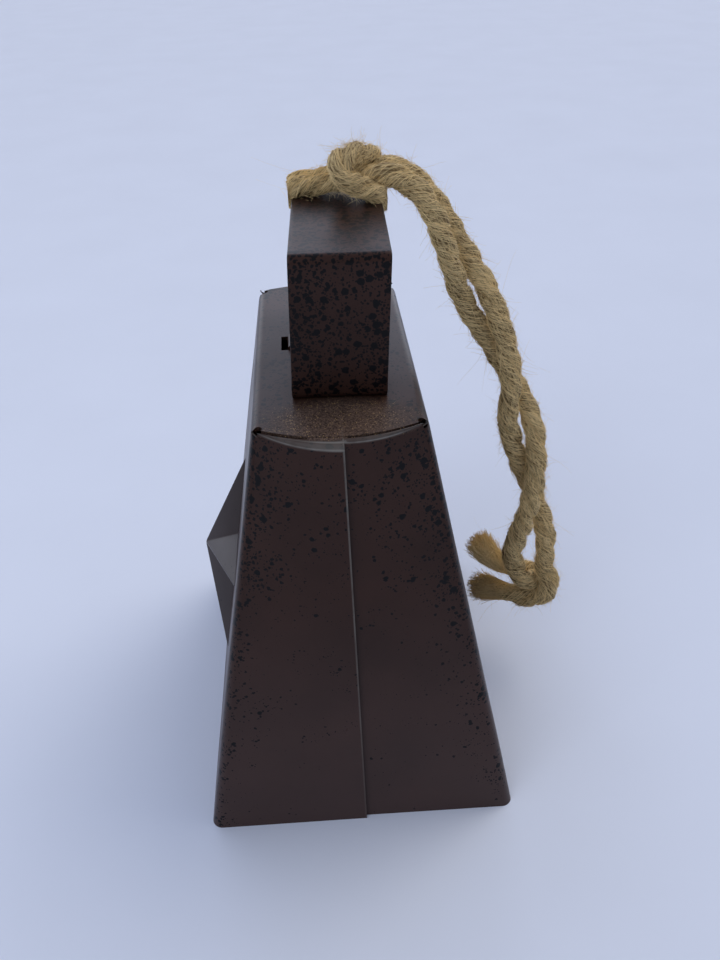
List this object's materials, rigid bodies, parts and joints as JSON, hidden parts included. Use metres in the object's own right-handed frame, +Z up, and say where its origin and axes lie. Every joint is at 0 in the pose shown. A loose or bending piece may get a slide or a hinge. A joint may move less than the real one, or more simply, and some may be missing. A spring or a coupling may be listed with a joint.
{
  "type": "cowbell",
  "caption": "Folded sheet-steel bell with a strap handle, a hanging clapper, a raised star on one face and a rope hitched to the handle.",
  "frame": {"origin": "centre of the bell's mouth, on the surface that it stands on", "axes": "+Z up towards the handle, +X along the wide faces towards one lapped end, -Y out of the face with the star"},
  "size_m": [0.113, 0.112, 0.172],
  "materials": {
    "bell_paint": "semi-gloss brown with black speckle",
    "handle_paint": "semi-gloss brown with black speckle",
    "star_paint": "satin brown",
    "hanger_steel": "semi-gloss brown",
    "link_wire": "dull drawn wire",
    "clapper_steel": "dull black-grey rod",
    "clapper_iron": "rough oiled iron",
    "jute": "hairy twisted jute"
  },
  "bodies": {
    "bell": {"bell_shell": "bell_paint", "strap_handle": "handle_paint", "barn_star": "star_paint", "clapper_hanger": "hanger_steel", "rope_hitch": "jute", "rope_limb_front": "jute", "rope_limb_rear": "jute", "rope_knot": "jute", "rope_tail_upper": "jute", "rope_tail_lower": "jute"},
    "link": {"clapper_link": "link_wire"},
    "clapper": {"clapper_rod": "clapper_steel", "clapper_ball": "clapper_iron"}
  },
  "joints": [
    {"name": "link_swing", "type": "hinge", "parent": "bell", "child": "link", "pos_m": [-0.0036, -0.0016, 0.10976], "axis": [0, 1, 0], "range_deg": [-22, 21]},
    {"name": "clapper_swing", "type": "hinge", "parent": "link", "child": "clapper", "pos_m": [-0.0036, -0.0016, 0.09611], "axis": [1, 0, 0], "range_deg": [-19.5, 21.5]}
  ]
}
